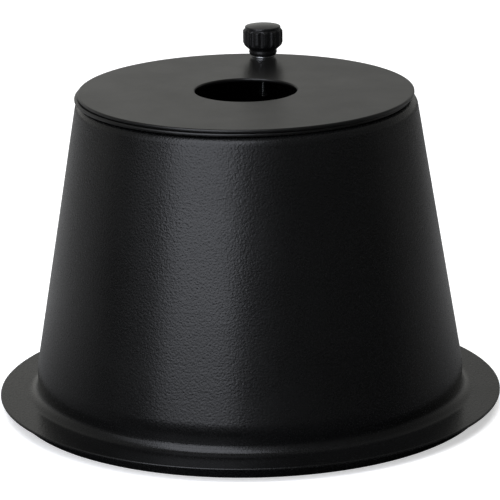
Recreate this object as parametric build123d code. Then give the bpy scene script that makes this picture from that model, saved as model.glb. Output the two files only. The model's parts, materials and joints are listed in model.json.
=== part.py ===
from build123d import *
import os
from math import atan2, cos, degrees, radians, sin, tan

# A conical snoot for a studio Fresnel lamp head. A spun cone with a wide mounting flange carries two
# swing-away aperture plates on one clamping screw, whose knob stands at the back (+Y).
# Millimetres. The origin is the centre of the spigot ring's bottom edge, and +Z points along the beam.

# Flange and spigot, which the lamp head takes
FLANGE_R = 122.5
SHEET = 1.2
SPIGOT_R = 115.0
SPIGOT_DEPTH = 6.0
SPIGOT_SHEET = 1.5
SPIGOT_FOOT_R = 109.0
SPIGOT_BEND_R = 2.0
SPIGOT_INNER_BEND_R = 0.5
FLANGE_TOP = SPIGOT_DEPTH + SHEET

# Cone, from the neck above the flange to the shoulder under the plates
CONE_HEIGHT = 145.3
CONE_REF_R = 103.3
CONE_REF_HEIGHT = 17.2
CONE_SLOPE = 0.1672
NECK_R = 103.4
NECK_HEIGHT = 11.5
FLANGE_FILLET_R = 5.0
NECK_BLEND_R = 30.0
SHOULDER_R = 4.3
LEDGE_INNER_R = 64.0
SHEET_EDGE_R = 0.3
LEDGE_TOP = FLANGE_TOP + CONE_HEIGHT

# Aperture plates, stacked on the ledge
PLATE_R = 80.9
PLATE_T = 1.8
PLATE_EDGE_R = 0.7
SMALL_APERTURE_R = 24.6
LARGE_APERTURE_R = 50.0
LOWER_PLATE_SWING = -1.3
UPPER_PLATE_SWING = -0.15
LOWER_PLATE_Z = LEDGE_TOP
UPPER_PLATE_Z = LEDGE_TOP + PLATE_T
PLATE_TOP = UPPER_PLATE_Z + PLATE_T

# Clamping screw: M6, in a clearance hole through both plates and the ledge
PIVOT_X = 8.58
PIVOT_Y = 73.17
SCREW_R = 2.97
SCREW_HOLE_R = 3.25
SCREW_LENGTH = 25.0
SCREW_TIP_CHAMFER = 0.6
SCREW_HEAD_ACROSS_FLATS = 9.9
SCREW_HEAD_HEIGHT = 4.0
SCREW_HEAD_SEAT = 5.0

# Nut welded under the ledge
NUT_ACROSS_FLATS = 10.0
NUT_HEIGHT = 5.0
NUT_BORE_R = 3.04
NUT_CORNER_CHAMFER = 0.5

# Washer under the knob
WASHER_R = 6.0
WASHER_HOLE_R = 3.2
WASHER_T = 1.0
WASHER_EDGE = 0.15

# Knob: heights are above the upper plate
KNOB_NECK_R = 7.0
KNOB_FOOT_R = 6.3
KNOB_FOOT_ROUND_TOP = 2.5
KNOB_NECK_TOP = 3.8
KNOB_BELLY_R = 9.3
KNOB_BELLY_HEIGHT = 6.1
KNOB_CREST_R = 9.9
KNOB_CREST_BOTTOM = 7.4
KNOB_CREST_TOP = 13.4
KNOB_RIM_R = 9.0
KNOB_RIM_HEIGHT = 14.4
KNOB_BORE_R = 6.25
KNOB_HEX_POCKET_TOP = 9.2
KNOB_SCREW_HOLE_R = 3.05
FLUTE_COUNT = 14
FLUTE_R = 1.6
FLUTE_CENTRE_R = 10.7
FLUTE_PHASE = -95.3

# Cap pressed into the top of the knob
CAP_R = 8.9
CAP_RIM_TOP = 15.6
CAP_EDGE_R = 0.8
CAP_CROWN_TOP = 16.3
CAP_PLUG_R = 6.2
CAP_PLUG_WALL = 1.2
CAP_PLUG_BOTTOM = 12.6


def cone_radius(height_above_flange):
    """Outer radius of the straight cone wall at a height above the flange's top face."""
    return CONE_REF_R - CONE_SLOPE * (height_above_flange - CONE_REF_HEIGHT)


def at_pivot(shape, z):
    """A shape drawn about its own axis, moved onto the clamping screw's axis at height z."""
    return Pos(PIVOT_X, PIVOT_Y, z) * shape


def pivot_hole(radius, z, depth):
    """A cylinder on the clamping screw's axis, from z upwards, to be cut away."""
    return at_pivot(Cylinder(radius, depth, align=(Align.CENTER, Align.CENTER, Align.MIN)), z)


def turned(points):
    """A solid turned from a closed outline of (radius, height) points."""
    with BuildPart() as part:
        with BuildSketch(Plane.XZ):
            with BuildLine():
                Polyline(*points, close=True)
            make_face()
        revolve(axis=Axis.Z)
    return part.part


def snoot_body():
    """Spun sheet: flange, neck, cone and the inward ledge that the plates lie on."""
    outline = [
        (FLANGE_R, FLANGE_TOP),
        (NECK_R, FLANGE_TOP),
        (cone_radius(NECK_HEIGHT), FLANGE_TOP + NECK_HEIGHT),
        (cone_radius(CONE_HEIGHT), LEDGE_TOP),
        (LEDGE_INNER_R, LEDGE_TOP),
    ]
    corner_radii = [FLANGE_FILLET_R, NECK_BLEND_R, SHOULDER_R]
    with BuildPart() as part:
        with BuildSketch(Plane.XZ) as section:
            with BuildLine():
                FilletPolyline(*outline, radius=corner_radii)
                offset(amount=SHEET, side=Side.LEFT)
            make_face()
            ends = section.vertices().filter_by(
                lambda v: v.X > FLANGE_R - SHEET or v.X < LEDGE_INNER_R + SHEET
            )
            fillet(ends, SHEET_EDGE_R)
        revolve(axis=Axis.Z)
    return part.part - pivot_hole(SCREW_HOLE_R, LEDGE_TOP - 2 * SHEET, 3 * SHEET)


def spigot_ring():
    """Angle-section ring spot-welded under the flange: a short upright wall with an inward foot."""
    with BuildPart() as part:
        with BuildSketch(Plane.XZ) as section:
            with BuildLine():
                Polyline(
                    (SPIGOT_R, 0),
                    (SPIGOT_R, SPIGOT_DEPTH),
                    (SPIGOT_FOOT_R, SPIGOT_DEPTH),
                    (SPIGOT_FOOT_R, SPIGOT_DEPTH - SPIGOT_SHEET),
                    (SPIGOT_R - SPIGOT_SHEET, SPIGOT_DEPTH - SPIGOT_SHEET),
                    (SPIGOT_R - SPIGOT_SHEET, 0),
                    close=True,
                )
            make_face()
            outer_bend = section.vertices().sort_by_distance((SPIGOT_R, SPIGOT_DEPTH))[0]
            fillet(outer_bend, SPIGOT_BEND_R)
            inner_bend = section.vertices().sort_by_distance(
                (SPIGOT_R - SPIGOT_SHEET, SPIGOT_DEPTH - SPIGOT_SHEET)
            )[0]
            fillet(inner_bend, SPIGOT_INNER_BEND_R)
        revolve(axis=Axis.Z)
    return part.part


def aperture_plate(aperture_radius, z, swing):
    """A flat disc with a central aperture and a clearance hole, turned about the clamping screw."""
    with BuildPart() as part:
        with BuildSketch():
            Circle(PLATE_R)
            Circle(aperture_radius, mode=Mode.SUBTRACT)
        extrude(amount=PLATE_T)
        fillet(part.edges(), PLATE_EDGE_R)
    plate = Pos(0, 0, z) * part.part - pivot_hole(SCREW_HOLE_R, z - PLATE_T, 3 * PLATE_T)
    return plate.rotate(Axis((PIVOT_X, PIVOT_Y, 0), (0, 0, 1)), swing)


def aperture_plate_small():
    """Upper plate, with the small aperture."""
    return aperture_plate(SMALL_APERTURE_R, UPPER_PLATE_Z, UPPER_PLATE_SWING)


def aperture_plate_large():
    """Lower plate, with the large aperture, lying a little further round the screw."""
    return aperture_plate(LARGE_APERTURE_R, LOWER_PLATE_Z, LOWER_PLATE_SWING)


def hexagon_prism(across_flats, height):
    """A hexagonal prism on its own axis, from height 0, with two flats square to +Y."""
    with BuildPart() as part:
        with BuildSketch():
            RegularPolygon(across_flats / 2, 6, major_radius=False)
        extrude(amount=height)
    return part.part


def corner_cone(across_flats, height, chamfer_size):
    """The turned blank whose chamfers a hexagon's corners are cut back to."""
    corner_r = across_flats / 2 / cos(radians(30))
    drop = chamfer_size * tan(radians(30))
    edge_r = corner_r - chamfer_size
    return turned([
        (0, 0),
        (edge_r, 0),
        (corner_r, drop),
        (corner_r, height - drop),
        (edge_r, height),
        (0, height),
    ])


def weld_nut():
    """Hexagon nut welded under the ledge, flats square to the cone's radius."""
    blank = hexagon_prism(NUT_ACROSS_FLATS, NUT_HEIGHT)
    blank = blank & corner_cone(NUT_ACROSS_FLATS, NUT_HEIGHT, NUT_CORNER_CHAMFER)
    bore = Cylinder(NUT_BORE_R, NUT_HEIGHT, align=(Align.CENTER, Align.CENTER, Align.MIN))
    turn_to_radius = Rot(0, 0, -degrees(atan2(PIVOT_X, PIVOT_Y)))
    return at_pivot(turn_to_radius * (blank - bore), LEDGE_TOP - SHEET - NUT_HEIGHT)


def plain_washer():
    """Flat washer between the knob and the upper plate."""
    return at_pivot(
        turned([
            (WASHER_HOLE_R, 0),
            (WASHER_R - WASHER_EDGE, 0),
            (WASHER_R, WASHER_EDGE),
            (WASHER_R, WASHER_T - WASHER_EDGE),
            (WASHER_R - WASHER_EDGE, WASHER_T),
            (WASHER_HOLE_R, WASHER_T),
        ]),
        PLATE_TOP,
    )


def knob_screw():
    """M6 screw whose hexagon head sits in the knob's pocket; the thread is drawn at its outer diameter."""
    head = hexagon_prism(SCREW_HEAD_ACROSS_FLATS, SCREW_HEAD_HEIGHT)
    shank = turned([
        (0, 0),
        (SCREW_R, 0),
        (SCREW_R, SCREW_TIP_CHAMFER - SCREW_LENGTH),
        (SCREW_R - SCREW_TIP_CHAMFER, -SCREW_LENGTH),
        (0, -SCREW_LENGTH),
    ])
    return at_pivot(head + shank, PLATE_TOP + SCREW_HEAD_SEAT)


def flute_cutters():
    """Upright cylinders that cut the scallops round the knob's crest."""
    cutter = Cylinder(FLUTE_R, CAP_CROWN_TOP, align=(Align.CENTER, Align.CENTER, Align.MIN))
    angles = [radians(FLUTE_PHASE + index * 360 / FLUTE_COUNT) for index in range(FLUTE_COUNT)]
    return [
        Pos(FLUTE_CENTRE_R * cos(angle), FLUTE_CENTRE_R * sin(angle), KNOB_NECK_TOP) * cutter
        for angle in angles
    ]


def knob_grip():
    """Fluted knob, hollow from the top for the screw's head, with a floor that the screw passes through."""
    blank = turned([
        (KNOB_SCREW_HOLE_R, WASHER_T),
        (KNOB_FOOT_R, WASHER_T),
        (KNOB_NECK_R, KNOB_FOOT_ROUND_TOP),
        (KNOB_NECK_R, KNOB_NECK_TOP),
        (KNOB_BELLY_R, KNOB_BELLY_HEIGHT),
        (KNOB_CREST_R, KNOB_CREST_BOTTOM),
        (KNOB_CREST_R, KNOB_CREST_TOP),
        (KNOB_RIM_R, KNOB_RIM_HEIGHT),
        (KNOB_BORE_R, KNOB_RIM_HEIGHT),
        (KNOB_BORE_R, KNOB_HEX_POCKET_TOP),
        (KNOB_SCREW_HOLE_R, KNOB_HEX_POCKET_TOP),
    ])
    for cutter in flute_cutters():
        blank -= cutter
    pocket = hexagon_prism(NUT_ACROSS_FLATS, KNOB_HEX_POCKET_TOP - SCREW_HEAD_SEAT)
    return at_pivot(blank - Pos(0, 0, SCREW_HEAD_SEAT) * pocket, PLATE_TOP)


def knob_cap():
    """Crowned cap with a plug ring that presses into the knob's bore."""
    with BuildPart() as part:
        with BuildSketch(Plane.XZ) as section:
            with BuildLine():
                crown = ThreePointArc(
                    (-CAP_R, CAP_RIM_TOP), (0, CAP_CROWN_TOP), (CAP_R, CAP_RIM_TOP)
                )
                Line(crown @ 1, (CAP_R, KNOB_RIM_HEIGHT))
                Line((CAP_R, KNOB_RIM_HEIGHT), (-CAP_R, KNOB_RIM_HEIGHT))
                Line((-CAP_R, KNOB_RIM_HEIGHT), crown @ 0)
            make_face()
            fillet(section.vertices().group_by(Axis.Y)[-1], CAP_EDGE_R)
            split(bisect_by=Plane.YZ, keep=Keep.TOP)
        revolve(axis=Axis.Z)
    plug = turned([
        (CAP_PLUG_R - CAP_PLUG_WALL, CAP_PLUG_BOTTOM),
        (CAP_PLUG_R, CAP_PLUG_BOTTOM),
        (CAP_PLUG_R, KNOB_RIM_HEIGHT),
        (CAP_PLUG_R - CAP_PLUG_WALL, KNOB_RIM_HEIGHT),
    ])
    return at_pivot(part.part + plug, PLATE_TOP)


NODES = [
    snoot_body,
    spigot_ring,
    weld_nut,
    aperture_plate_large,
    aperture_plate_small,
    plain_washer,
    knob_screw,
    knob_grip,
    knob_cap,
]

os.makedirs("parts", exist_ok=True)
for make in NODES:
    export_step(make(), f"parts/{make.__name__}.step")
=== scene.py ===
import json
from math import atan2, cos, floor, pi, radians, sin, sqrt, tan, tau

import bmesh
import bpy
from mathutils import Matrix, Vector, noise


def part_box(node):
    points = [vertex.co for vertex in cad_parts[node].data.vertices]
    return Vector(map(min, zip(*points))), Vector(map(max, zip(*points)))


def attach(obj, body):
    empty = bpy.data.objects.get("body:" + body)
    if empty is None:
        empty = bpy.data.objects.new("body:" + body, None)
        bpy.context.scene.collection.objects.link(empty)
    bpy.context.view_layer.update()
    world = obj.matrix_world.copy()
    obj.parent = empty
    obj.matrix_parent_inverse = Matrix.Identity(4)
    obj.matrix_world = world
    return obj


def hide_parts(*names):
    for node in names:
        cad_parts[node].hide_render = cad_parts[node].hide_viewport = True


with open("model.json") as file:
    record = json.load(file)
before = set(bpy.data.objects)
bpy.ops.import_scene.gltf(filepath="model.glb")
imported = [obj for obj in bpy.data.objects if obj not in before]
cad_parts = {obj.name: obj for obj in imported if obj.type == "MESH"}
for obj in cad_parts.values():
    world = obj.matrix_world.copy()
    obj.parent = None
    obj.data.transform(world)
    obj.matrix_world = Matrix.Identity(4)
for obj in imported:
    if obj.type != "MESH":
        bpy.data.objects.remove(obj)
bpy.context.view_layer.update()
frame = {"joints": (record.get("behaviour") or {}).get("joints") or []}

MM = 0.001


# ---------------------------------------------------------------- places from the frame, and sizes

BODY_LOW, BODY_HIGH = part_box("snoot_body")
RING_LOW, RING_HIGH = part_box("spigot_ring")
WASHER_LOW, WASHER_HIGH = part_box("plain_washer")
NUT_LOW, NUT_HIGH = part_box("weld_nut")
SCREW_LOW, SCREW_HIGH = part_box("knob_screw")
CAP_LOW, CAP_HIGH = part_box("knob_cap")
PLATE_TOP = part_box("aperture_plate_small")[1].z

JOINTS = {joint["name"]: joint for joint in frame["joints"]}
PIVOT = Vector(JOINTS["upper_plate_swing"]["pos_m"]).to_2d()

# Round pieces are divided into this many steps round their axis. An outline that closes on the axis
# stops at AXIS_R from it, and edges that turn by more than SHARP_ANGLE degrees are shaded sharp
WIDE_SEGMENTS = 288
CAP_SEGMENTS = 128
SMALL_SEGMENTS = 96
SCREW_SEGMENTS = 60
AXIS_R = 0.02 * MM
SHARP_ANGLE = 32

# Spun body
FLANGE_R = 122.5 * MM
SHEET = 1.2 * MM
FLANGE_TOP = BODY_LOW.z + SHEET
LEDGE_TOP = BODY_HIGH.z
LEDGE_INNER_R = 64 * MM
CONE_REF_R = 103.3 * MM
CONE_REF_HEIGHT = 17.2 * MM
CONE_SLOPE = 0.1672
NECK_R = 103.4 * MM
NECK_HEIGHT = 11.5 * MM
FLANGE_FILLET_R = 5 * MM
NECK_BLEND_R = 30 * MM
SHOULDER_R = 4.3 * MM
SHEET_EDGE_R = 0.55 * MM

# Unevenness that spinning leaves on the wall
WAVE_HEIGHT = 0.10 * MM
WAVE_LENGTH = 60 * MM
WAVES_ROUND = 1.6
SPIN_LINE_HEIGHT = 0.008 * MM
SPIN_LINE_SPACING = 5 * MM
SPIN_LINE_WAVER = 0.25
SPIN_LINE_PLACE = 3.1
WOBBLE_INSET = 0.06 * MM
WOBBLE_FADE = 20 * MM

# Spigot ring
SPIGOT_R = 115 * MM
SPIGOT_SHEET = 1.5 * MM
SPIGOT_FOOT_R = 109 * MM
SPIGOT_BEND_R = 2 * MM
SPIGOT_EDGE_R = 0.4 * MM

# Aperture plates, whose lower edge is eased inwards all round
PLATE_R = 80.9 * MM
PLATE_EDGE_R = 0.7 * MM
PLATE_EASE_WIDTH = 1.2 * MM
PLATE_EASE_HEIGHT = 0.3 * MM
PLATE_EASE_R = 0.5 * MM
SMALL_APERTURE_R = 24.6 * MM
LARGE_APERTURE_R = 50 * MM
LOWER_PLATE_SWING = radians(-1.3)
UPPER_PLATE_SWING = radians(-0.15)
SCREW_HOLE_R = 3.25 * MM

# Washer
WASHER_R = 6 * MM
WASHER_HOLE_R = 3.2 * MM
WASHER_DRAWN_IN = 0.22 * MM
WASHER_TOP_EDGE_R = 0.3 * MM
WASHER_HOLE_EDGE_R = 0.2 * MM
WASHER_BOTTOM_EDGE_R = 0.12 * MM

# Clamping screw and its nut. The head's chamfered corners start SCREW_HEAD_END outside its flats
SCREW_R = 2.97 * MM
SCREW_PITCH = 1 * MM
SCREW_TIP_R = 0.2 * MM
SCREW_TIP_CHAMFER = 0.75 * MM
SCREW_HEAD_APOTHEM = 4.95 * MM
SCREW_HEAD_SEAT = PLATE_TOP + 5 * MM
SCREW_HEAD_END = 0.25 * MM
SCREW_HEAD_SPREAD = 6 * MM
SCREW_SUPPORT_ROW = 0.2 * MM
THREAD_TOP = PLATE_TOP + 1 * MM
THREAD_DEPTH = 0.61 * SCREW_PITCH
THREAD_CREST_SHARE = 0.125
THREAD_FLANK_SHARE = 0.66
THREAD_RUN_OUT = 1.5 * SCREW_PITCH
THREAD_ROW = SCREW_PITCH / 14
NUT_APOTHEM = 5 * MM
NUT_BORE_R = 3.04 * MM
NUT_BORE_CHAMFER = 0.4 * MM
NUT_CORNER_CHAMFER = 0.45 * MM

# Knob
KNOB_SCREW_HOLE_R = 3.05 * MM
KNOB_FOOT_R = 6.4 * MM
KNOB_NECK_R = 7.0 * MM
KNOB_NECK_Z = PLATE_TOP + 2.5 * MM
KNOB_WAIST_R = 6.85 * MM
KNOB_WAIST_Z = PLATE_TOP + 3.9 * MM
KNOB_BELLY_R = 9.3 * MM
KNOB_BELLY_Z = PLATE_TOP + 6.1 * MM
KNOB_CREST_R = 9.9 * MM
KNOB_CREST_LOW = PLATE_TOP + 7.5 * MM
KNOB_CREST_HIGH = PLATE_TOP + 13.4 * MM
KNOB_SHOULDER_R = 9.0 * MM
KNOB_RIM_R = 8.95 * MM
KNOB_RIM_Z = PLATE_TOP + 14.4 * MM
KNOB_RIM_EDGE_R = 0.05 * MM
KNOB_BORE_R = 6.25 * MM
KNOB_BORE_FLOOR = PLATE_TOP + 9.2 * MM
KNOB_HEX_POCKET_R = 5.9 * MM
FLUTED_PAST_R = 7.2 * MM
FLUTE_COUNT = 14
FLUTE_SEGMENTS = 20
FLUTE_R = 1.6 * MM
FLUTE_CENTRE_R = 10.7 * MM
FLUTE_PHASE = radians(-95.3)
FLUTE_SOFTNESS = 0.35 * MM

# Cap
CAP_R = 8.9 * MM
CAP_RIM_TOP = PLATE_TOP + 15.6 * MM
CAP_RIM_EDGE_R = 0.5 * MM
CAP_LOWER_EDGE_R = 0.12 * MM
CAP_CROWN_INSET = 0.7 * MM
CAP_CROWN_STEPS = 24
CAP_DECK = KNOB_RIM_Z + 0.3 * MM
CAP_PLUG_R = 6.2 * MM
CAP_PLUG_INNER_R = 4.9 * MM
CAP_PLUG_TAPER = 0.1 * MM
CAP_PLUG_EDGE_R = 0.15 * MM


# ---------------------------------------------------------------- outlines

def arc_points(tangent_in, tangent_out, centre, steps):
    """Points of the short arc about centre from one tangent point to the other."""
    start = tangent_in - centre
    turn = start.angle_signed(tangent_out - centre)
    return [
        centre + Matrix.Rotation(-turn * index / steps, 2) @ start
        for index in range(steps + 1)
    ]


def rounded_outline(corners, steps):
    """A closed outline from (radius, height, corner rounding) corners, each corner turned into an arc."""
    points = []
    count = len(corners)
    for index, (r, z, rounding) in enumerate(corners):
        corner = Vector((r, z))
        if not rounding:
            points.append(corner)
            continue
        before = Vector(corners[index - 1][:2]) - corner
        after = Vector(corners[(index + 1) % count][:2]) - corner
        half = before.angle(after) / 2
        reach = rounding / tan(half)
        towards = (before.normalized() + after.normalized()).normalized()
        centre = corner + towards * (rounding / sin(half))
        tangent_in = corner + before.normalized() * reach
        tangent_out = corner + after.normalized() * reach
        points.extend(arc_points(tangent_in, tangent_out, centre, steps))
    return points


def with_rows(points, longest, support=0.3 * MM):
    """The closed outline with its long runs divided, and a support row near each end of every run."""
    rows = []
    for index, point in enumerate(points):
        rows.append(point)
        step = points[(index + 1) % len(points)] - point
        if step.length < 2.5 * support:
            continue
        near = support / step.length
        count = max(1, round(step.length / longest))
        shares = [near, *[i / count for i in range(1, count)], 1 - near]
        rows.extend(point + step * share for share in shares)
    return rows


def offset_corner(before, corner, after, distance):
    """The corner of a line that runs beside the path before-corner-after, at a distance to its left."""
    first = (corner - before).normalized()
    second = (after - corner).normalized()
    left_first = Vector((-first.y, first.x))
    left_second = Vector((-second.y, second.x))
    return corner + (left_first + left_second) * (distance / (1 + left_first.dot(left_second)))


# ---------------------------------------------------------------- meshes

def mesh_object(name, vertices, faces, sharp_angle=SHARP_ANGLE):
    """A new smooth-shaded object whose edges are sharp past an angle, in degrees."""
    mesh = bpy.data.meshes.new(name)
    mesh.from_pydata(vertices, [], faces)
    mesh.validate()
    bm = bmesh.new()
    bm.from_mesh(mesh)
    bmesh.ops.remove_doubles(bm, verts=bm.verts, dist=1e-7)
    bmesh.ops.recalc_face_normals(bm, faces=bm.faces)
    bm.to_mesh(mesh)
    bm.free()
    mesh.shade_smooth()
    mesh.set_sharp_from_angle(angle=radians(sharp_angle))
    piece = bpy.data.objects.new(name, mesh)
    bpy.context.scene.collection.objects.link(piece)
    return piece


def ring_surface(name, rings, closed=True, sharp_angle=SHARP_ANGLE):
    """A surface through rings of points, all of one count. closed joins the last ring to the first."""
    segments = len(rings[0])
    vertices = [point for ring in rings for point in ring]
    faces = []
    for row in range(len(rings) if closed else len(rings) - 1):
        low = row * segments
        high = (row + 1) % len(rings) * segments
        for i in range(segments):
            j = (i + 1) % segments
            faces.append((low + i, low + j, high + j, high + i))
    if not closed:
        faces.append(tuple(range(segments)))
        faces.append(tuple(range(len(vertices) - 1, len(vertices) - 1 - segments, -1)))
    return mesh_object(name, vertices, faces, sharp_angle)


def level_ring(centre, radius_at, z, segments, phase=0.0):
    """One level ring of points about centre, whose radius may depend on the angle."""
    ring = []
    for i in range(segments):
        angle = phase + tau * i / segments
        r = radius_at(angle)
        ring.append((centre.x + r * cos(angle), centre.y + r * sin(angle), z))
    return ring


def lathe(name, outline, segments, centre=Vector((0, 0)), wobble=lambda angle, z: 0.0,
          sharp_angle=SHARP_ANGLE):
    """A solid of revolution from a closed outline of (radius, height) points.
    wobble(angle, height) adds a small outward shift."""
    rings = [level_ring(centre, lambda a: r + wobble(a, z), z, segments) for r, z in outline]
    return ring_surface(name, rings, sharp_angle=sharp_angle)


def drill(piece, centre, radius, low, high, segments=48):
    """Cuts a round hole straight down through a piece."""
    walls = [level_ring(centre, lambda a: radius, z, segments) for z in (low, high)]
    cutter = ring_surface("cutter", walls, closed=False)
    cut = piece.modifiers.new("hole", "BOOLEAN")
    cut.operation = "DIFFERENCE"
    cut.solver = "EXACT"
    cut.object = cutter
    evaluated = piece.evaluated_get(bpy.context.evaluated_depsgraph_get())
    drilled = bpy.data.meshes.new_from_object(evaluated)
    piece.modifiers.clear()
    piece.data = drilled
    drilled.shade_smooth()
    drilled.set_sharp_from_angle(angle=radians(SHARP_ANGLE))
    bpy.data.objects.remove(cutter)


# ---------------------------------------------------------------- material helpers

def new_material(name):
    """An empty node material with a Principled shader and an output."""
    material = bpy.data.materials.new(name)
    material.use_nodes = True
    tree = material.node_tree
    tree.nodes.clear()
    output = tree.nodes.new("ShaderNodeOutputMaterial")
    shader = tree.nodes.new("ShaderNodeBsdfPrincipled")
    tree.links.new(shader.outputs["BSDF"], output.inputs["Surface"])
    return material, tree, shader


def position(tree):
    """The point on the piece, in metres, in the piece's own coordinates."""
    return tree.nodes.new("ShaderNodeTexCoord").outputs["Object"]


def noise_field(tree, where, scale, detail=2.0, roughness=0.5, distortion=0.0):
    """A noise value from 0 to 1 with about scale features in a metre."""
    node = tree.nodes.new("ShaderNodeTexNoise")
    node.inputs["Scale"].default_value = scale
    node.inputs["Detail"].default_value = detail
    node.inputs["Roughness"].default_value = roughness
    node.inputs["Distortion"].default_value = distortion
    tree.links.new(where, node.inputs["Vector"])
    return node.outputs["Fac"]


def cells(tree, where, scale, smoothness):
    """Distance inside soft irregular cells, with about scale cells in a metre."""
    node = tree.nodes.new("ShaderNodeTexVoronoi")
    node.feature = "SMOOTH_F1"
    node.inputs["Scale"].default_value = scale
    node.inputs["Smoothness"].default_value = smoothness
    tree.links.new(where, node.inputs["Vector"])
    return node.outputs["Distance"]


def calculate(tree, operation, *values):
    """A math node on sockets or plain numbers."""
    node = tree.nodes.new("ShaderNodeMath")
    node.operation = operation
    for socket, value in zip(node.inputs, values):
        if isinstance(value, (int, float)):
            socket.default_value = value
        else:
            tree.links.new(value, socket)
    return node.outputs[0]


def remap(tree, value, low_in, high_in, low_out, high_out):
    """A value stretched from one range to another and clamped."""
    node = tree.nodes.new("ShaderNodeMapRange")
    for name, number in (
        ("From Min", low_in), ("From Max", high_in), ("To Min", low_out), ("To Max", high_out)
    ):
        node.inputs[name].default_value = number
    tree.links.new(value, node.inputs["Value"])
    return node.outputs["Result"]


def mix_colours(tree, share, first, second):
    """A colour between two, by a share from 0 to 1."""
    node = tree.nodes.new("ShaderNodeMix")
    node.data_type = "RGBA"
    node.inputs["A"].default_value = (*first, 1)
    node.inputs["B"].default_value = (*second, 1)
    tree.links.new(share, node.inputs["Factor"])
    return node.outputs["Result"]


def bump(tree, height, distance):
    """A bump normal from a height field, where a height of 1 stands distance out of the surface."""
    node = tree.nodes.new("ShaderNodeBump")
    node.inputs["Strength"].default_value = 1.0
    node.inputs["Distance"].default_value = distance
    tree.links.new(height, node.inputs["Height"])
    return node.outputs["Normal"]


def along_axes(tree, where):
    """The X, Y and Z outputs of a point or direction."""
    split = tree.nodes.new("ShaderNodeSeparateXYZ")
    tree.links.new(where, split.inputs[0])
    return split.outputs


# ---------------------------------------------------------------- materials

def textured_powder_coat():
    """Black powder coat of the spun body: a leathery orange peel about a millimetre across, which lies
    flatter towards the flange."""
    material, tree, shader = new_material("textured_powder_coat")
    where = position(tree)
    peel = cells(tree, where, 1050, 0.9)
    wrinkle = noise_field(tree, where, 1150, detail=1.5, roughness=0.5, distortion=0.3)
    grain = noise_field(tree, where, 2600, detail=1)
    height = calculate(tree, "ADD", calculate(tree, "MULTIPLY", peel, 0.9), wrinkle)
    height = calculate(tree, "ADD", height, calculate(tree, "MULTIPLY", grain, 0.10))
    flatter_low = remap(tree, along_axes(tree, where)["Z"], 30 * MM, 125 * MM, 0.60, 1.0)
    height = calculate(tree, "MULTIPLY", height, flatter_low)
    tree.links.new(bump(tree, height, 0.074 * MM), shader.inputs["Normal"])
    patches = noise_field(tree, where, 28, detail=4, roughness=0.6)
    tree.links.new(
        mix_colours(tree, patches, (0.0026, 0.0026, 0.0027), (0.0036, 0.0037, 0.0038)),
        shader.inputs["Base Color"],
    )
    patchy_gloss = remap(tree, patches, 0.3, 0.7, 0.24, 0.29)
    wrinkled_gloss = remap(tree, wrinkle, 0.3, 0.7, -0.03, 0.03)
    roughness = calculate(tree, "ADD", patchy_gloss, wrinkled_gloss)
    tree.links.new(roughness, shader.inputs["Roughness"])
    shader.inputs["IOR"].default_value = 1.46
    return material


def fine_powder_coat():
    """Black powder coat of the flat plates: a finer and much flatter grain with a satin sheen."""
    material, tree, shader = new_material("fine_powder_coat")
    where = position(tree)
    grain = noise_field(tree, where, 1500, detail=3, roughness=0.6)
    speck = noise_field(tree, where, 4200, detail=1)
    height = calculate(tree, "ADD", grain, calculate(tree, "MULTIPLY", speck, 0.35))
    tree.links.new(bump(tree, height, 0.026 * MM), shader.inputs["Normal"])
    patches = noise_field(tree, where, 40, detail=4, roughness=0.65)
    tree.links.new(
        mix_colours(tree, patches, (0.0035, 0.0035, 0.0033), (0.0052, 0.0052, 0.0050)),
        shader.inputs["Base Color"],
    )
    tree.links.new(remap(tree, patches, 0.3, 0.7, 0.28, 0.33), shader.inputs["Roughness"])
    shader.inputs["IOR"].default_value = 1.5
    return material


def moulded_plastic(name, roughness_low, roughness_high, grain_scale, grain_height, ior):
    """Black moulded plastic with a faint grain and handling marks in the gloss."""
    material, tree, shader = new_material(name)
    where = position(tree)
    grain = noise_field(tree, where, grain_scale, detail=2)
    tree.links.new(bump(tree, grain, grain_height), shader.inputs["Normal"])
    marks = noise_field(tree, where, 260, detail=5, roughness=0.7, distortion=1.2)
    tree.links.new(
        remap(tree, marks, 0.35, 0.65, roughness_low, roughness_high), shader.inputs["Roughness"]
    )
    tree.links.new(
        mix_colours(tree, marks, (0.0060, 0.0060, 0.0062), (0.0085, 0.0085, 0.0085)),
        shader.inputs["Base Color"],
    )
    shader.inputs["IOR"].default_value = ior
    return material


def zinc_plate():
    """Bright zinc plate with fine turning lines and a slightly cloudy passivation."""
    material, tree, shader = new_material("zinc_plate")
    where = position(tree)
    cloud = noise_field(tree, where, 420, detail=4, roughness=0.6)
    tree.links.new(
        mix_colours(tree, cloud, (0.60, 0.62, 0.64), (0.78, 0.79, 0.79)),
        shader.inputs["Base Color"],
    )
    tree.links.new(remap(tree, cloud, 0.3, 0.7, 0.16, 0.24), shader.inputs["Roughness"])
    shader.inputs["Metallic"].default_value = 1
    scratches = noise_field(tree, where, 3200, detail=2)
    tree.links.new(bump(tree, scratches, 0.003 * MM), shader.inputs["Normal"])
    return material


# ---------------------------------------------------------------- pieces

def finish_piece(piece, material, body, node):
    """Gives a piece its material, attaches it to the body it moves with, and hides the CAD part it stands
    for.
    """
    piece.data.materials.clear()
    piece.data.materials.append(material)
    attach(piece, body)
    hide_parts(node)


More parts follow.
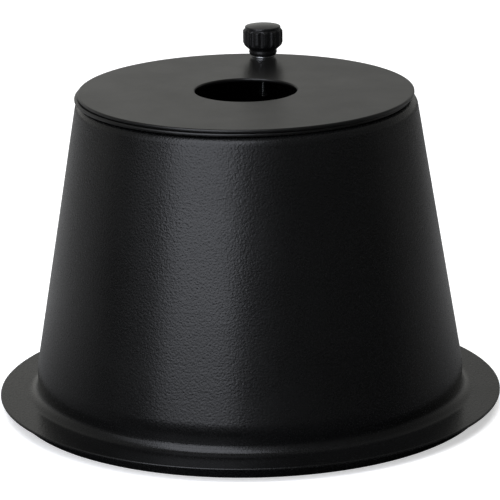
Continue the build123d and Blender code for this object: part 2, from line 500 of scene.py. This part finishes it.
def spun_wobble(angle, z):
    """The faint unevenness that spinning leaves on a sheet: spin lines, and slow waves round the wall.
    It lies mostly inside the true outline, and fades at the flange and the shoulder."""
    above_fillet = min(1.0, max(0.0, (z - FLANGE_TOP - FLANGE_FILLET_R) / WOBBLE_FADE))
    below_shoulder = min(1.0, max(0.0, (LEDGE_TOP - 2 * SHOULDER_R - z) / WOBBLE_FADE))
    waves = noise.noise(Vector((WAVES_ROUND * cos(angle), WAVES_ROUND * sin(angle), z / WAVE_LENGTH)))
    waver = SPIN_LINE_WAVER * cos(angle)
    spin_lines = noise.noise(Vector((SPIN_LINE_PLACE, waver, z / SPIN_LINE_SPACING)))
    shift = WAVE_HEIGHT * waves + SPIN_LINE_HEIGHT * spin_lines - WOBBLE_INSET
    return above_fillet * below_shoulder * shift


def build_snoot_body(material):
    """Spun sheet: flange, neck, cone and the inward ledge, one thickness all along."""
    def cone_r(height):
        return CONE_REF_R - CONE_SLOPE * (height - CONE_REF_HEIGHT)

    path = [
        Vector((FLANGE_R, FLANGE_TOP)),
        Vector((NECK_R, FLANGE_TOP)),
        Vector((cone_r(NECK_HEIGHT), FLANGE_TOP + NECK_HEIGHT)),
        Vector((cone_r(LEDGE_TOP - FLANGE_TOP), LEDGE_TOP)),
        Vector((LEDGE_INNER_R, LEDGE_TOP)),
    ]
    bends = [FLANGE_FILLET_R, NECK_BLEND_R, SHOULDER_R]
    inner_bends = [FLANGE_FILLET_R + SHEET, NECK_BLEND_R - SHEET, SHOULDER_R - SHEET]
    inner = [offset_corner(*path[i - 1:i + 2], SHEET) for i in (1, 2, 3)]
    corners = [(*path[0], SHEET_EDGE_R)]
    corners += [(*point, bend) for point, bend in zip(path[1:4], bends)]
    corners += [(*path[4], SHEET_EDGE_R), (LEDGE_INNER_R, LEDGE_TOP - SHEET, SHEET_EDGE_R)]
    corners += [(*point, bend) for point, bend in zip(reversed(inner), reversed(inner_bends))]
    corners += [(FLANGE_R, FLANGE_TOP - SHEET, SHEET_EDGE_R)]
    outline = with_rows(rounded_outline(corners, steps=9), longest=3.2 * MM)
    piece = lathe("snoot_shell", outline, WIDE_SEGMENTS, wobble=spun_wobble)
    drill(piece, PIVOT, SCREW_HOLE_R, LEDGE_TOP - 3 * SHEET, LEDGE_TOP + SHEET)
    finish_piece(piece, material, "snoot", "snoot_body")


def build_spigot_ring(material):
    """Angle-section ring under the flange."""
    inner_r = SPIGOT_R - SPIGOT_SHEET
    foot_low = RING_HIGH.z - SPIGOT_SHEET
    corners = [
        (SPIGOT_R, RING_LOW.z, SPIGOT_EDGE_R),
        (SPIGOT_R, RING_HIGH.z, SPIGOT_BEND_R),
        (SPIGOT_FOOT_R, RING_HIGH.z, SPIGOT_EDGE_R),
        (SPIGOT_FOOT_R, foot_low, SPIGOT_EDGE_R),
        (inner_r, foot_low, SPIGOT_BEND_R - SPIGOT_SHEET),
        (inner_r, RING_LOW.z, SPIGOT_EDGE_R),
    ]
    outline = with_rows(rounded_outline(corners, steps=6), longest=2 * MM)
    piece = lathe("spigot_band", outline, WIDE_SEGMENTS)
    finish_piece(piece, material, "snoot", "spigot_ring")


def build_plate(name, material, body, node, aperture_r, centre):
    """A flat disc with rounded painted edges, a central aperture and the screw's hole."""
    low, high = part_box(node)
    corners = [
        (PLATE_R - PLATE_EASE_WIDTH, low.z, 0),
        (PLATE_R, low.z + PLATE_EASE_HEIGHT, PLATE_EASE_R),
        (PLATE_R, high.z, PLATE_EDGE_R),
        (aperture_r, high.z, PLATE_EDGE_R),
        (aperture_r, low.z, PLATE_EDGE_R),
    ]
    outline = with_rows(rounded_outline(corners, steps=6), longest=8 * MM)
    piece = lathe(name, outline, WIDE_SEGMENTS, centre=centre)
    drill(piece, PIVOT, SCREW_HOLE_R, low.z - SHEET, high.z + SHEET)
    finish_piece(piece, material, body, node)


def swung_centre(swing):
    """The centre of a plate that lies swung a little about the screw."""
    return PIVOT + Matrix.Rotation(swing, 2) @ (-PIVOT)


def build_washer(material):
    """Stamped washer: the punch leaves its top edges round and its side drawn in towards the bottom."""
    corners = [
        (WASHER_R - WASHER_DRAWN_IN, WASHER_LOW.z, WASHER_BOTTOM_EDGE_R),
        (WASHER_R, WASHER_HIGH.z, WASHER_TOP_EDGE_R),
        (WASHER_HOLE_R, WASHER_HIGH.z, WASHER_HOLE_EDGE_R),
        (WASHER_HOLE_R, WASHER_LOW.z, WASHER_BOTTOM_EDGE_R),
    ]
    outline = with_rows(rounded_outline(corners, steps=5), longest=1 * MM, support=0.1 * MM)
    piece = lathe("flat_washer", outline, SMALL_SEGMENTS, centre=PIVOT)
    finish_piece(piece, material, "washer", "plain_washer")


def hexagon_radius(angle, apothem):
    """The radius of a hexagon's edge at an angle from the middle of one of its flats."""
    from_flat = (angle + radians(30)) % radians(60) - radians(30)
    return apothem / cos(from_flat)


def build_weld_nut(material):
    """Hexagon nut with chamfered corners and bore, its flats square to the cone's radius."""
    towards_axis = atan2(PIVOT.y, PIVOT.x)
    height = NUT_HIGH.z - NUT_LOW.z
    corner_r = NUT_APOTHEM / cos(radians(30))
    rings = []
    for share in (0, 0.02, 0.05, 0.09, 0.5, 0.91, 0.95, 0.98, 1):
        from_end = min(share, 1 - share) * height
        limit = corner_r - NUT_CORNER_CHAMFER + from_end / tan(radians(30))
        rings.append(level_ring(
            PIVOT, lambda a: min(hexagon_radius(a - towards_axis, NUT_APOTHEM), limit),
            NUT_LOW.z + share * height, SMALL_SEGMENTS, phase=towards_axis,
        ))
    mouth_r = NUT_BORE_R + NUT_BORE_CHAMFER
    for r, z in ((mouth_r, NUT_HIGH.z), (NUT_BORE_R, NUT_HIGH.z - NUT_BORE_CHAMFER),
                 (NUT_BORE_R, NUT_LOW.z + NUT_BORE_CHAMFER), (mouth_r, NUT_LOW.z)):
        rings.append(level_ring(PIVOT, lambda a: r, z, SMALL_SEGMENTS, phase=towards_axis))
    piece = ring_surface("hex_nut", rings)
    finish_piece(piece, material, "snoot", "weld_nut")


def thread_radius(turns):
    """Radius of a 60-degree thread at a position along it, counted in turns."""
    from_crest = abs((turns - floor(turns)) - 0.5) * 2
    flank = min(1.0, max(0.0, (from_crest - THREAD_CREST_SHARE) / THREAD_FLANK_SHARE))
    return SCREW_R - THREAD_DEPTH * flank


def shank_radius(angle, z):
    """Radius of the screw's shank: the thread, which runs out at its top, inside the chamfered tip."""
    in_chamfer = SCREW_R - SCREW_TIP_CHAMFER + (z - SCREW_LOW.z)
    run_out = min(1.0, max(0.0, (THREAD_TOP - z) / THREAD_RUN_OUT))
    cut = thread_radius(z / SCREW_PITCH - angle / tau) - SCREW_R
    return min(SCREW_R + cut * run_out, in_chamfer)


def build_screw(material):
    """Hexagon-head screw with a real right-hand thread and a chamfered tip."""
    rings = [level_ring(PIVOT, lambda a: SCREW_TIP_R, SCREW_LOW.z, SCREW_SEGMENTS)]
    thread_length = THREAD_TOP - SCREW_LOW.z
    rows = round(thread_length / THREAD_ROW)
    for row in range(rows + 1):
        z = SCREW_LOW.z + thread_length * row / rows
        rings.append(level_ring(PIVOT, lambda a: shank_radius(a, z), z, SCREW_SEGMENTS))
    for z in (SCREW_HEAD_SEAT - SCREW_SUPPORT_ROW, SCREW_HEAD_SEAT):
        rings.append(level_ring(PIVOT, lambda a: SCREW_R, z, SCREW_SEGMENTS))
    for share in (0, 0.06, 0.12, 0.88, 0.94, 1):
        limit = SCREW_HEAD_APOTHEM + SCREW_HEAD_END + min(share, 1 - share) * SCREW_HEAD_SPREAD
        rings.append(level_ring(
            PIVOT, lambda a: min(hexagon_radius(a, SCREW_HEAD_APOTHEM), limit),
            SCREW_HEAD_SEAT + share * (SCREW_HIGH.z - SCREW_HEAD_SEAT), SCREW_SEGMENTS,
        ))
    piece = ring_surface("clamp_screw", rings, closed=False, sharp_angle=28)
    finish_piece(piece, material, "knob", "knob_screw")


def flute_radius(angle):
    """How far out the scallop's floor is at an angle; past its edges, further than the crest."""
    step = tau / FLUTE_COUNT
    from_middle = abs((angle - FLUTE_PHASE + step / 2) % step - step / 2)
    side = FLUTE_CENTRE_R * sin(from_middle)
    if side >= FLUTE_R:
        return FLUTE_CENTRE_R
    return FLUTE_CENTRE_R * cos(from_middle) - sqrt(FLUTE_R ** 2 - side ** 2)


def soft_min(first, second, softness):
    """The smaller of two values, with the crossing rounded off."""
    share = min(1.0, max(0.0, 0.5 + 0.5 * (second - first) / softness))
    return second + (first - second) * share - softness * share * (1 - share)


def fluted_radius(angle, r):
    """A radius of the knob's outline, cut back by the scallops where the knob is wide enough."""
    if r <= FLUTED_PAST_R:
        return r
    return soft_min(r, flute_radius(angle), FLUTE_SOFTNESS)


def build_knob_grip(material):
    """Fluted knob: rounded foot, waist, taper, scalloped crest and a shoulder up to the cap."""
    corners = [
        (KNOB_SCREW_HOLE_R, WASHER_HIGH.z, 0),
        (KNOB_FOOT_R, WASHER_HIGH.z, 0.4 * MM),
        (KNOB_NECK_R, KNOB_NECK_Z, 0.6 * MM),
        (KNOB_WAIST_R, KNOB_WAIST_Z, 0.5 * MM),
        (KNOB_BELLY_R, KNOB_BELLY_Z, 1.6 * MM),
        (KNOB_CREST_R, KNOB_CREST_LOW, 1.2 * MM),
        (KNOB_CREST_R, KNOB_CREST_HIGH, 0.3 * MM),
        (KNOB_SHOULDER_R, KNOB_RIM_Z - 2 * KNOB_RIM_EDGE_R, 2 * KNOB_RIM_EDGE_R),
        (KNOB_RIM_R, KNOB_RIM_Z, KNOB_RIM_EDGE_R),
        (KNOB_BORE_R, KNOB_RIM_Z, KNOB_RIM_EDGE_R),
        (KNOB_BORE_R, KNOB_BORE_FLOOR, 0),
        (KNOB_HEX_POCKET_R, KNOB_BORE_FLOOR, 0),
        (KNOB_HEX_POCKET_R, SCREW_HEAD_SEAT, 0),
        (KNOB_SCREW_HOLE_R, SCREW_HEAD_SEAT, 0),
    ]
    outline = with_rows(rounded_outline(corners, steps=7), longest=0.45 * MM, support=0.12 * MM)
    segments = FLUTE_COUNT * FLUTE_SEGMENTS
    rings = [
        level_ring(PIVOT, lambda a: fluted_radius(a, r), z, segments, phase=FLUTE_PHASE)
        for r, z in outline
    ]
    piece = ring_surface("fluted_knob", rings, sharp_angle=40)
    finish_piece(piece, material, "knob", "knob_grip")


def build_knob_cap(material):
    """Crowned cap with a rounded rim and a plug ring below."""
    crown_rise = CAP_HIGH.z - CAP_RIM_TOP
    crown_r = (CAP_R ** 2 + crown_rise ** 2) / (2 * crown_rise)
    crown = []
    for index in range(CAP_CROWN_STEPS + 1):
        r = (CAP_R - CAP_CROWN_INSET) * (1 - index / CAP_CROWN_STEPS)
        z = CAP_HIGH.z - crown_r + sqrt(crown_r ** 2 - r ** 2)
        crown.append((max(r, AXIS_R), z, 0))
    corners = [
        (CAP_R, KNOB_RIM_Z, CAP_LOWER_EDGE_R),
        (CAP_R, CAP_RIM_TOP, CAP_RIM_EDGE_R),
        *crown,
        (AXIS_R, CAP_DECK, 0),
        (CAP_PLUG_INNER_R, CAP_DECK, 0),
        (CAP_PLUG_INNER_R + CAP_PLUG_TAPER, CAP_LOW.z, 0),
        (CAP_PLUG_R - CAP_PLUG_TAPER, CAP_LOW.z, CAP_PLUG_EDGE_R),
        (CAP_PLUG_R, KNOB_RIM_Z, 0),
    ]
    outline = with_rows(rounded_outline(corners, steps=6), longest=0.6 * MM, support=0.08 * MM)
    piece = lathe("knob_crown", outline, CAP_SEGMENTS, centre=PIVOT, sharp_angle=40)
    finish_piece(piece, material, "knob", "knob_cap")


# ---------------------------------------------------------------- stage, light and camera

FLOOR_PALE = 0.88
FLOOR_LIFT = 0.5
FLOOR_HALF = 6.0

BACK_GATHERING = 2.2

SOFTBOX_COLOUR = (0.88, 0.91, 1.0)
SOFTBOX_DISTANCE = 1.6
OVERHEAD_DISTANCE = 2.4
OVERHEAD_SIZE = 2.6
OVERHEAD_STRENGTH = 2.7

SENSOR_WIDTH = 36
LENS = 239.7
SHIFT_X = -0.0059
CAMERA_X = 0.0022
CAMERA_BACK = 1.557
CAMERA_ABOVE_FLANGE = 0.5119
TILT_DOWN = radians(15.88)
ROLL = radians(-0.783)


def build_floor(reflected_left, reflected_right, reflected_front):
    """A plain pale floor that reaches well past the picture. Glossy surfactes see it with painted shade,
    darkest on the right and in front, standing in for the dark studio beyond a small table and for the
    shadow the object casts in front of it, and the camera sees its shadows lightened."""
    corners = [(-FLOOR_HALF, -FLOOR_HALF, 0), (FLOOR_HALF, -FLOOR_HALF, 0),
               (FLOOR_HALF, FLOOR_HALF, 0), (-FLOOR_HALF, FLOOR_HALF, 0)]
    mesh = bpy.data.meshes.new("floor")
    mesh.from_pydata(corners, [], [(0, 1, 2, 3)])
    floor_piece = bpy.data.objects.new("floor", mesh)
    bpy.context.scene.collection.objects.link(floor_piece)
    material, tree, shader = new_material("pale_floor")
    rays = tree.nodes.new("ShaderNodeLightPath")
    axes = along_axes(tree, position(tree))
    # painted shade: the floor's colour as seen in reflections is darkened to the right and in front, not
    # lit that way
    across = remap(tree, axes["X"], -0.3, 0.9, reflected_left, reflected_right)
    along = remap(tree, axes["Y"], -0.14, 0.2, reflected_front, 1.0)
    painted_reflection_shade = calculate(tree, "MULTIPLY", across, along)
    glossy = rays.outputs["Is Glossy Ray"]
    pale = calculate(tree, "MULTIPLY", calculate(tree, "SUBTRACT", 1.0, glossy), FLOOR_PALE)
    tree.links.new(
        calculate(tree, "MULTIPLY_ADD", glossy, painted_reflection_shade, pale), shader.inputs["Base Color"]
    )
    shader.inputs["Roughness"].default_value = 1
    shader.inputs["Specular IOR Level"].default_value = 0
    shader.inputs["Emission Color"].default_value = (1, 1, 1, 1)
    lift = calculate(tree, "MULTIPLY", rays.outputs["Is Camera Ray"], FLOOR_LIFT)
    tree.links.new(lift, shader.inputs["Emission Strength"])
    mesh.materials.append(material)


def build_world(front, back, left):
    """A studio room as light: pale behind the object, fading upwards and to the right, dim on the
    camera's side, with some fill at left."""
    world = bpy.data.worlds.new("studio")
    bpy.context.scene.world = world
    world.use_nodes = True
    tree = world.node_tree
    tree.nodes.clear()
    output = tree.nodes.new("ShaderNodeOutputWorld")
    background = tree.nodes.new("ShaderNodeBackground")
    axes = along_axes(tree, tree.nodes.new("ShaderNodeTexCoord").outputs["Generated"])
    behind = calculate(tree, "POWER", remap(tree, axes["Y"], -0.5, 1.0, 0.0, 1.0), BACK_GATHERING)
    fade_right = remap(tree, axes["X"], -0.08, 0.08, 1.10, 0.76)
    fade_up = remap(tree, axes["Z"], 0.15, 0.45, 1.10, 0.45)
    behind = calculate(tree, "MULTIPLY", behind, fade_right)
    behind = calculate(tree, "MULTIPLY", behind, fade_up)
    behind = calculate(tree, "MULTIPLY_ADD", behind, back - front, front)
    leftwards = remap(tree, axes["X"], 0.1, -0.8, 0.0, left)
    radiance = calculate(tree, "ADD", behind, leftwards)
    tree.links.new(
        mix_colours(tree, radiance, (0, 0, 0), (1.0, 1.0, 0.96)), background.inputs["Color"]
    )
    tree.links.new(background.outputs[0], output.inputs["Surface"])


def area_light(name, azimuth, elevation, distance, width, height, strength, colour=(1, 1, 1)):
    """A soft box that faces the cone's middle. Azimuth 0 is the camera's side, positive to its right."""
    a, e = radians(azimuth), radians(elevation)
    back = Vector((sin(a) * cos(e), -cos(a) * cos(e), sin(e)))
    data = bpy.data.lights.new(name, "AREA")
    data.shape = "RECTANGLE"
    data.size, data.size_y = width, height
    data.energy = strength * width * height * pi
    data.color = colour
    lamp = bpy.data.objects.new(name, data)
    lamp.location = Vector((0, 0, LEDGE_TOP / 2)) + back * distance
    lamp.rotation_mode = "QUATERNION"
    lamp.rotation_quaternion = back.to_track_quat("Z", "Y")
    lamp.visible_camera = False
    bpy.context.scene.collection.objects.link(lamp)
    return lamp


def build_lights():
    """A tall key at the left front in two boxes, weak fills at the side and the front, and a broad box
    overhead that lights the floor and doesn't show in reflections."""
    for name, azimuth, elevation, width, height, strength in (
        ("key_softbox_low", -28, 12, 1.2, 0.76, 2.75),
        ("key_softbox_high", -28, 48, 1.2, 1.14, 2.8),
        ("side_fill", -60, 24, 0.7, 1.2, 0.65),
        ("front_fill", 2, 24, 0.6, 1.2, 0.32),
    ):
        area_light(name, azimuth, elevation, SOFTBOX_DISTANCE, width, height, strength, SOFTBOX_COLOUR)
    overhead = area_light(
        "overhead_softbox", 0, 90, OVERHEAD_DISTANCE, OVERHEAD_SIZE, OVERHEAD_SIZE, OVERHEAD_STRENGTH
    )
    overhead.visible_glossy = False


def build_camera():
    """Long lens, 1.56 m in front and half a metre above the flange, tilted down and a touch rolled."""
    data = bpy.data.cameras.new("camera")
    data.sensor_width = SENSOR_WIDTH
    data.lens = LENS
    data.shift_x = SHIFT_X
    data.clip_start, data.clip_end = 0.05, 50
    camera = bpy.data.objects.new("camera", data)
    turn = Matrix.Rotation(pi / 2 - TILT_DOWN, 4, "X") @ Matrix.Rotation(ROLL, 4, "Z")
    place = Matrix.Translation((CAMERA_X, -CAMERA_BACK, FLANGE_TOP + CAMERA_ABOVE_FLANGE))
    camera.matrix_world = place @ turn
    bpy.context.scene.collection.objects.link(camera)
    bpy.context.scene.camera = camera


# ---------------------------------------------------------------- the scene

build_camera()
build_floor(reflected_left=0.34, reflected_right=0.16, reflected_front=0.03)
build_world(front=0.075, back=0.50, left=0.08)
build_lights()
bpy.context.scene.view_settings.view_transform = "Standard"

body_paint = textured_powder_coat()
plate_paint = fine_powder_coat()
zinc = zinc_plate()

build_snoot_body(body_paint)
build_spigot_ring(body_paint)
build_weld_nut(body_paint)
build_plate("lower_plate", plate_paint, "lower_plate", "aperture_plate_large",
            LARGE_APERTURE_R, swung_centre(LOWER_PLATE_SWING))
build_plate("upper_plate", plate_paint, "upper_plate", "aperture_plate_small",
            SMALL_APERTURE_R, swung_centre(UPPER_PLATE_SWING))
build_washer(zinc)
build_screw(zinc)
build_knob_grip(moulded_plastic("knob_moulding", roughness_low=0.22, roughness_high=0.30,
                                grain_scale=1800, grain_height=0.006 * MM, ior=1.36))
build_knob_cap(moulded_plastic("cap_moulding", roughness_low=0.17, roughness_high=0.24,
                               grain_scale=2600, grain_height=0.012 * MM, ior=1.5))
